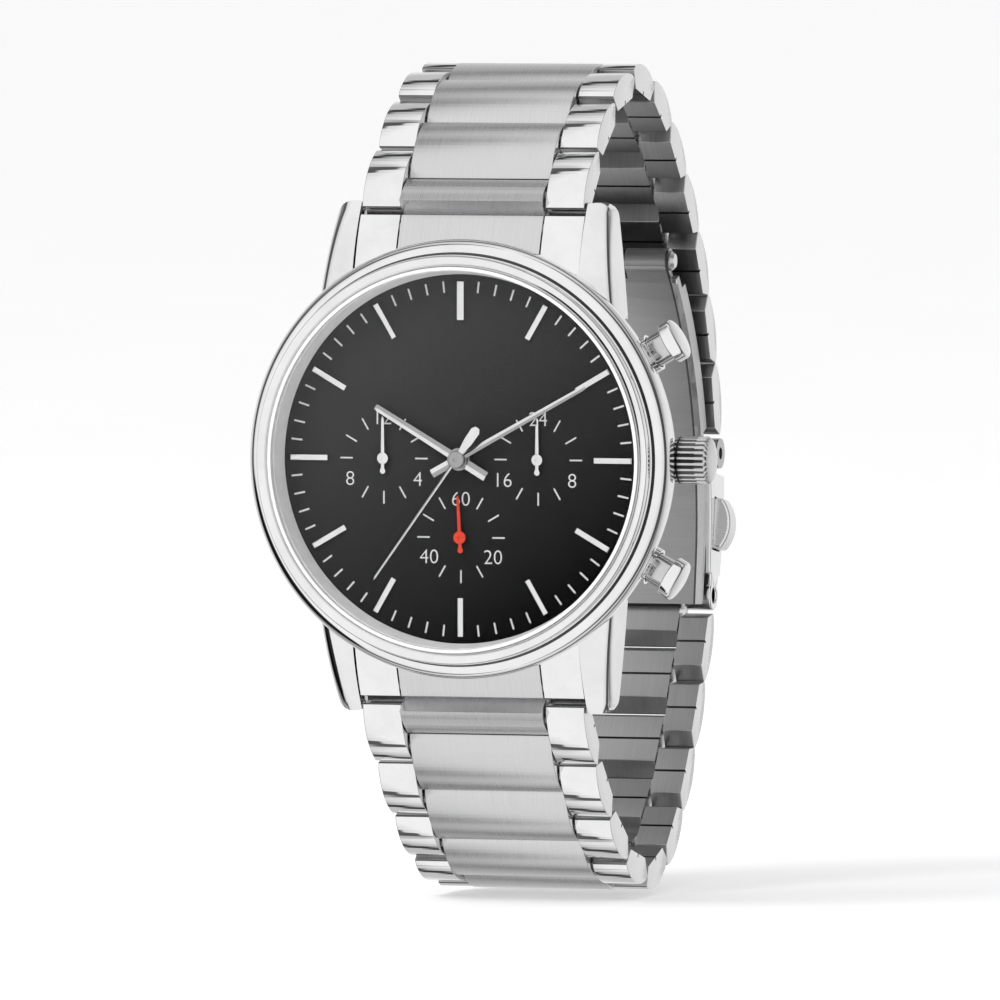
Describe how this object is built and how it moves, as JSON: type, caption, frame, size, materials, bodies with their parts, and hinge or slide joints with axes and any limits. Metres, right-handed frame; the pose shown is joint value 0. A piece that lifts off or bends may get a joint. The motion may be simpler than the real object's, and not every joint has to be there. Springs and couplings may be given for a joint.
{
  "type": "chronograph wristwatch",
  "caption": "Steel chronograph wristwatch with black dial, small counters, domed bezel, crown, pushers and a staggered-link bracelet closed by a folding push-button clasp",
  "frame": {"origin": "centre of the outer face of the case back", "axes": "+X to 3 o'clock, +Y out of the case back towards the wrist, +Z to 12 o'clock"},
  "size_m": [0.0441, 0.0585, 0.0781],
  "materials": {
    "polished_steel": "mirror polished stainless steel",
    "brushed_steel": "stainless steel brushed along the bracelet, with polished edges",
    "satin_steel": "satin stainless steel, darker",
    "dial_black": "satin black dial with white printing",
    "marker_steel": "polished applied bars",
    "hand_steel": "polished two-facet hands",
    "hand_red": "orange-red lacquer",
    "crystal_glass": "clear mineral crystal",
    "gasket_rubber": "black sealing rubber",
    "holder_plastic": "white plastic",
    "movement_brass": "plain brass"
  },
  "bodies": {
    "watch_head": {"case_middle": "polished_steel", "case_back": "brushed_steel", "back_gasket": "gasket_rubber", "movement_ring": "holder_plastic", "movement": "movement_brass", "battery": "brushed_steel", "dial": "dial_black", "hour_markers": "marker_steel", "flange": "polished_steel", "crystal": "crystal_glass", "crystal_gasket": "holder_plastic", "bezel": "polished_steel", "crown_tube": "polished_steel", "pusher_tubes": "polished_steel", "spring_bars": "brushed_steel", "end_link_12": "brushed_steel", "end_link_6": "brushed_steel"},
    "crown_seal": {"crown_seal": "gasket_rubber"},
    "crown": {"crown": "polished_steel"},
    "pusher_top": {"pusher_top": "polished_steel"},
    "pusher_bottom": {"pusher_bottom": "polished_steel"},
    "hour_hand": {"hour_hand": "hand_steel"},
    "minute_hand": {"minute_hand": "hand_steel"},
    "seconds_hand": {"seconds_hand": "hand_steel"},
    "hour_counter_hand": {"hour_counter_hand": "hand_steel"},
    "day_hand": {"day_hand": "hand_steel"},
    "minute_counter_hand": {"minute_counter_hand": "hand_red"},
    "link_12_1": {"link_12_1": "brushed_steel"},
    "link_12_2": {"link_12_2": "brushed_steel"},
    "link_12_3": {"link_12_3": "brushed_steel"},
    "link_12_4": {"link_12_4": "brushed_steel"},
    "link_12_5": {"link_12_5": "brushed_steel"},
    "link_12_6": {"link_12_6": "brushed_steel"},
    "link_12_7": {"link_12_7": "brushed_steel"},
    "link_12_8": {"link_12_8": "brushed_steel"},
    "link_12_9": {"link_12_9": "brushed_steel"},
    "link_12_10": {"link_12_10": "brushed_steel"},
    "link_6_1": {"link_6_1": "brushed_steel"},
    "link_6_2": {"link_6_2": "brushed_steel"},
    "link_6_3": {"link_6_3": "brushed_steel"},
    "link_6_4": {"link_6_4": "brushed_steel"},
    "link_6_5": {"link_6_5": "brushed_steel"},
    "link_6_6": {"link_6_6": "brushed_steel"},
    "link_6_7": {"link_6_7": "brushed_steel"},
    "link_6_8": {"link_6_8": "brushed_steel"},
    "link_6_9": {"link_6_9": "brushed_steel"},
    "clasp_arm": {"clasp_arm": "satin_steel"},
    "clasp_base": {"clasp_plate": "satin_steel", "clasp_cover": "brushed_steel", "clasp_pin": "polished_steel"},
    "clasp_button_right": {"clasp_button_right": "polished_steel"},
    "clasp_button_left": {"clasp_button_left": "polished_steel"}
  },
  "joints": [
    {"name": "crown_pull", "type": "slide", "parent": "watch_head", "child": "crown_seal", "axis": [1, 0, 0], "range_m": [0, 0.001]},
    {"name": "crown_turn", "type": "hinge", "parent": "crown_seal", "child": "crown", "pos_m": [0, -0.0037, 0], "axis": [1, 0, 0], "continuous": true},
    {"name": "pusher_top_press", "type": "slide", "parent": "watch_head", "child": "pusher_top", "axis": [-0.8704, 0, -0.4924], "range_m": [0, 0.0008], "stiffness_N_per_m": 1500},
    {"name": "pusher_bottom_press", "type": "slide", "parent": "watch_head", "child": "pusher_bottom", "axis": [-0.8704, 0, 0.4924], "range_m": [0, 0.0008], "stiffness_N_per_m": 1500},
    {"name": "minute_turn", "type": "hinge", "parent": "watch_head", "child": "minute_hand", "pos_m": [0, -0.007, 0], "axis": [0, 1, 0], "continuous": true},
    {"name": "hour_turn", "type": "hinge", "parent": "watch_head", "child": "hour_hand", "pos_m": [0, -0.007, 0], "axis": [0, 1, 0], "continuous": true},
    {"name": "day_turn", "type": "hinge", "parent": "watch_head", "child": "day_hand", "pos_m": [0.0075, -0.007, 0], "axis": [0, 1, 0], "continuous": true},
    {"name": "seconds_turn", "type": "hinge", "parent": "watch_head", "child": "seconds_hand", "pos_m": [0, -0.007, 0], "axis": [0, 1, 0], "continuous": true},
    {"name": "minute_counter_turn", "type": "hinge", "parent": "watch_head", "child": "minute_counter_hand", "pos_m": [0, -0.007, -0.0073], "axis": [0, 1, 0], "continuous": true},
    {"name": "hour_counter_turn", "type": "hinge", "parent": "watch_head", "child": "hour_counter_hand", "pos_m": [-0.0075, -0.007, 0], "axis": [0, 1, 0], "continuous": true},
    {"name": "hinge_12_1", "type": "hinge", "parent": "watch_head", "child": "link_12_1", "pos_m": [0, -0.0017, 0.0244], "axis": [1, 0, 0], "range_deg": [0, 20.8]},
    {"name": "hinge_12_2", "type": "hinge", "parent": "link_12_1", "child": "link_12_2", "pos_m": [0, 0.0033, 0.02958], "axis": [1, 0, 0], "range_deg": [0, 12.7]},
    {"name": "hinge_12_3", "type": "hinge", "parent": "link_12_2", "child": "link_12_3", "pos_m": [0, 0.00927, 0.03361], "axis": [1, 0, 0], "range_deg": [0, 21.6]},
    {"name": "hinge_12_4", "type": "hinge", "parent": "link_12_3", "child": "link_12_4", "pos_m": [0, 0.01629, 0.03523], "axis": [1, 0, 0], "range_deg": [0, 28.4]},
    {"name": "hinge_12_5", "type": "hinge", "parent": "link_12_4", "child": "link_12_5", "pos_m": [0, 0.02324, 0.03336], "axis": [1, 0, 0], "range_deg": [0, 7.6]},
    {"name": "hinge_12_6", "type": "hinge", "parent": "link_12_5", "child": "link_12_6", "pos_m": [0, 0.02914, 0.02923], "axis": [1, 0, 0], "range_deg": [-23.5, 0]},
    {"name": "hinge_12_7", "type": "hinge", "parent": "link_12_6", "child": "link_12_7", "pos_m": [0, 0.03423, 0.02414], "axis": [1, 0, 0], "range_deg": [-26.8, 0]},
    {"name": "hinge_12_8", "type": "hinge", "parent": "link_12_7", "child": "link_12_8", "pos_m": [0, 0.03866, 0.01847], "axis": [1, 0, 0], "range_deg": [-25.8, 0]},
    {"name": "hinge_12_9", "type": "hinge", "parent": "link_12_8", "child": "link_12_9", "pos_m": [0, 0.04226, 0.01223], "axis": [1, 0, 0], "range_deg": [-25.8, 0]},
    {"name": "hinge_12_10", "type": "hinge", "parent": "link_12_9", "child": "link_12_10", "pos_m": [0, 0.04496, 0.00556], "axis": [1, 0, 0], "range_deg": [-25, 0]},
    {"name": "clasp_open", "type": "hinge", "parent": "link_12_10", "child": "clasp_arm", "pos_m": [0, 0.04658, -0.00146], "axis": [1, 0, 0], "range_deg": [0, 120]},
    {"name": "clasp_fold", "type": "hinge", "parent": "clasp_arm", "child": "clasp_base", "pos_m": [0, 0.03304, 0.01738], "axis": [1, 0, 0], "range_deg": [-71.8, 0]},
    {"name": "hinge_6_1", "type": "hinge", "parent": "watch_head", "child": "link_6_1", "pos_m": [0, -0.0017, -0.0244], "axis": [1, 0, 0], "range_deg": [0, 20.1]},
    {"name": "hinge_6_2", "type": "hinge", "parent": "link_6_1", "child": "link_6_2", "pos_m": [0, 0.00283, -0.03], "axis": [1, 0, 0], "range_deg": [0, 7.3]},
    {"name": "hinge_6_3", "type": "hinge", "parent": "link_6_2", "child": "link_6_3", "pos_m": [0, 0.00801, -0.035], "axis": [1, 0, 0], "range_deg": [-1.8, 0]},
    {"name": "hinge_6_4", "type": "hinge", "parent": "link_6_3", "child": "link_6_4", "pos_m": [0, 0.01405, -0.03892], "axis": [1, 0, 0], "range_deg": [-4, 0]},
    {"name": "hinge_6_5", "type": "hinge", "parent": "link_6_4", "child": "link_6_5", "pos_m": [0, 0.02106, -0.04054], "axis": [1, 0, 0], "range_deg": [-3.6, 0]},
    {"name": "hinge_6_6", "type": "hinge", "parent": "link_6_5", "child": "link_6_6", "pos_m": [0, 0.02791, -0.03831], "axis": [1, 0, 0], "range_deg": [-1.5, 0]},
    {"name": "hinge_6_7", "type": "hinge", "parent": "link_6_6", "child": "link_6_7", "pos_m": [0, 0.03318, -0.0334], "axis": [1, 0, 0], "range_deg": [0, 5.2]},
    {"name": "hinge_6_8", "type": "hinge", "parent": "link_6_7", "child": "link_6_8", "pos_m": [0, 0.03741, -0.02758], "axis": [1, 0, 0], "range_deg": [0, 28.1]},
    {"name": "hinge_6_9", "type": "hinge", "parent": "link_6_8", "child": "link_6_9", "pos_m": [0, 0.04112, -0.02141], "axis": [1, 0, 0], "range_deg": [0, 29.2]},
    {"name": "clasp_button_right_press", "type": "slide", "parent": "clasp_base", "child": "clasp_button_right", "axis": [-1, 0, 0], "range_m": [0, 0.0008], "stiffness_N_per_m": 800},
    {"name": "clasp_button_left_press", "type": "slide", "parent": "clasp_base", "child": "clasp_button_left", "axis": [1, 0, 0], "range_m": [0, 0.0008], "stiffness_N_per_m": 800}
  ],
  "couplings": [
    {"joint": "hour_turn", "follows": "minute_turn", "ratio": 0.083333},
    {"joint": "day_turn", "follows": "minute_turn", "ratio": 0.041667},
    {"joint": "minute_counter_turn", "follows": "seconds_turn", "ratio": 0.016667},
    {"joint": "hour_counter_turn", "follows": "seconds_turn", "ratio": 0.001389},
    {"joint": "hinge_12_1", "follows": "clasp_open", "ratio": 0.1721},
    {"joint": "hinge_12_2", "follows": "clasp_open", "ratio": 0.1052},
    {"joint": "hinge_12_3", "follows": "clasp_open", "ratio": 0.1792},
    {"joint": "hinge_12_4", "follows": "clasp_open", "ratio": 0.2357},
    {"joint": "hinge_12_5", "follows": "clasp_open", "ratio": 0.0629},
    {"joint": "hinge_12_6", "follows": "clasp_open", "ratio": -0.1948},
    {"joint": "hinge_12_7", "follows": "clasp_open", "ratio": -0.2222},
    {"joint": "hinge_12_8", "follows": "clasp_open", "ratio": -0.2142},
    {"joint": "hinge_12_9", "follows": "clasp_open", "ratio": -0.214},
    {"joint": "hinge_12_10", "follows": "clasp_open", "ratio": -0.2072},
    {"joint": "clasp_fold", "follows": "clasp_open", "ratio": -0.5976},
    {"joint": "hinge_6_1", "follows": "clasp_open", "ratio": 0.1668},
    {"joint": "hinge_6_2", "follows": "clasp_open", "ratio": 0.0602},
    {"joint": "hinge_6_3", "follows": "clasp_open", "ratio": -0.0145},
    {"joint": "hinge_6_4", "follows": "clasp_open", "ratio": -0.0322},
    {"joint": "hinge_6_5", "follows": "clasp_open", "ratio": -0.0289},
    {"joint": "hinge_6_6", "follows": "clasp_open", "ratio": -0.0114},
    {"joint": "hinge_6_7", "follows": "clasp_open", "ratio": 0.0425},
    {"joint": "hinge_6_8", "follows": "clasp_open", "ratio": 0.2335},
    {"joint": "hinge_6_9", "follows": "clasp_open", "ratio": 0.2428}
  ]
}
